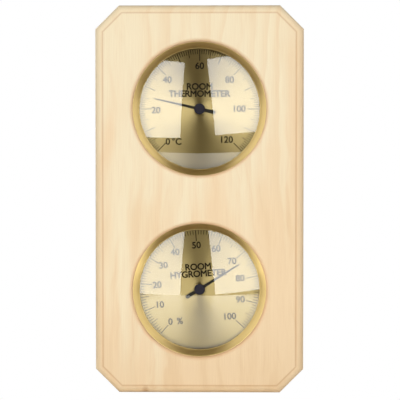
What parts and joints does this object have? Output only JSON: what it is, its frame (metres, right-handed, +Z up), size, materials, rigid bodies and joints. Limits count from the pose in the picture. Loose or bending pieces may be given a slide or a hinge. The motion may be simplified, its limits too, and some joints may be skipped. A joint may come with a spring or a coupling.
{
  "type": "wall thermometer and hygrometer station",
  "caption": "Upright pine board with clipped corners and a moulded edge, holding a round dial thermometer above a matching dial hygrometer, each with a gold bezel and domed glass.",
  "frame": {"origin": "centre of the board's back face, on the wall plane", "axes": "+Y into the wall, dials face -Y, +Z up, +X to the right as seen from the front"},
  "size_m": [0.137, 0.03, 0.255],
  "materials": {
    "pine": "sanded, clear, satin",
    "zinc_steel": "zinc plated",
    "case_aluminium": "drawn, satin",
    "gold_anodised": "gold anodised, satin",
    "gold_dial": "gold anodised, sunray brushed",
    "clear_glass": "polished",
    "black_rubber": "matte",
    "turned_brass": "turned",
    "plated_steel": "nickel plated",
    "bimetal_strip": "rolled",
    "hygroscopic_strip": "matte film on a thin metal strip",
    "black_pointer": "satin black",
    "hub_black": "satin blue-black"
  },
  "bodies": {
    "station": {"board": "pine", "hanger_plate": "zinc_steel", "hanger_screws": "zinc_steel", "thermometer_case": "case_aluminium", "thermometer_case_screws": "zinc_steel", "thermometer_bezel": "gold_anodised", "thermometer_lens": "clear_glass", "thermometer_lens_gasket": "black_rubber", "thermometer_dial": "gold_dial", "thermometer_front_bush": "turned_brass", "thermometer_pillars": "turned_brass", "thermometer_bridge": "plated_steel", "thermometer_bridge_screws": "zinc_steel", "thermometer_friction_washer": "plated_steel", "hygrometer_case": "case_aluminium", "hygrometer_case_screws": "zinc_steel", "hygrometer_bezel": "gold_anodised", "hygrometer_lens": "clear_glass", "hygrometer_lens_gasket": "black_rubber", "hygrometer_dial": "gold_dial", "hygrometer_front_bush": "turned_brass", "hygrometer_pillars": "turned_brass", "hygrometer_bridge": "plated_steel", "hygrometer_bridge_screws": "zinc_steel", "hygrometer_friction_washer": "plated_steel"},
    "thermometer_regulator": {"thermometer_calibration_spindle": "turned_brass", "thermometer_calibration_arm": "plated_steel", "thermometer_coil": "bimetal_strip"},
    "thermometer_pointer": {"thermometer_coil_collet": "turned_brass", "thermometer_staff": "plated_steel", "thermometer_pointer": "black_pointer", "thermometer_pointer_hub": "hub_black"},
    "hygrometer_regulator": {"hygrometer_calibration_spindle": "turned_brass", "hygrometer_calibration_arm": "plated_steel", "hygrometer_coil": "hygroscopic_strip"},
    "hygrometer_pointer": {"hygrometer_coil_collet": "turned_brass", "hygrometer_staff": "plated_steel", "hygrometer_pointer": "black_pointer", "hygrometer_pointer_hub": "hub_black"}
  },
  "joints": [
    {"name": "thermometer_calibration", "type": "hinge", "parent": "station", "child": "thermometer_regulator", "pos_m": [0, -0.008, 0.05975], "axis": [0, 1, 0], "range_deg": [-20, 20]},
    {"name": "thermometer_reading", "type": "hinge", "parent": "thermometer_regulator", "child": "thermometer_pointer", "pos_m": [0, -0.018, 0.05975], "axis": [0, 1, 0], "range_deg": [-57.9, 212.1], "stiffness_Nm_per_rad": 0.0004, "deforming": ["thermometer_coil"]},
    {"name": "hygrometer_calibration", "type": "hinge", "parent": "station", "child": "hygrometer_regulator", "pos_m": [0, -0.008, -0.05975], "axis": [0, 1, 0], "range_deg": [-20, 20]},
    {"name": "hygrometer_reading", "type": "hinge", "parent": "hygrometer_regulator", "child": "hygrometer_pointer", "pos_m": [0, -0.018, -0.05975], "axis": [0, 1, 0], "range_deg": [-197, 73], "stiffness_Nm_per_rad": 0.0001, "deforming": ["hygrometer_coil"]}
  ]
}
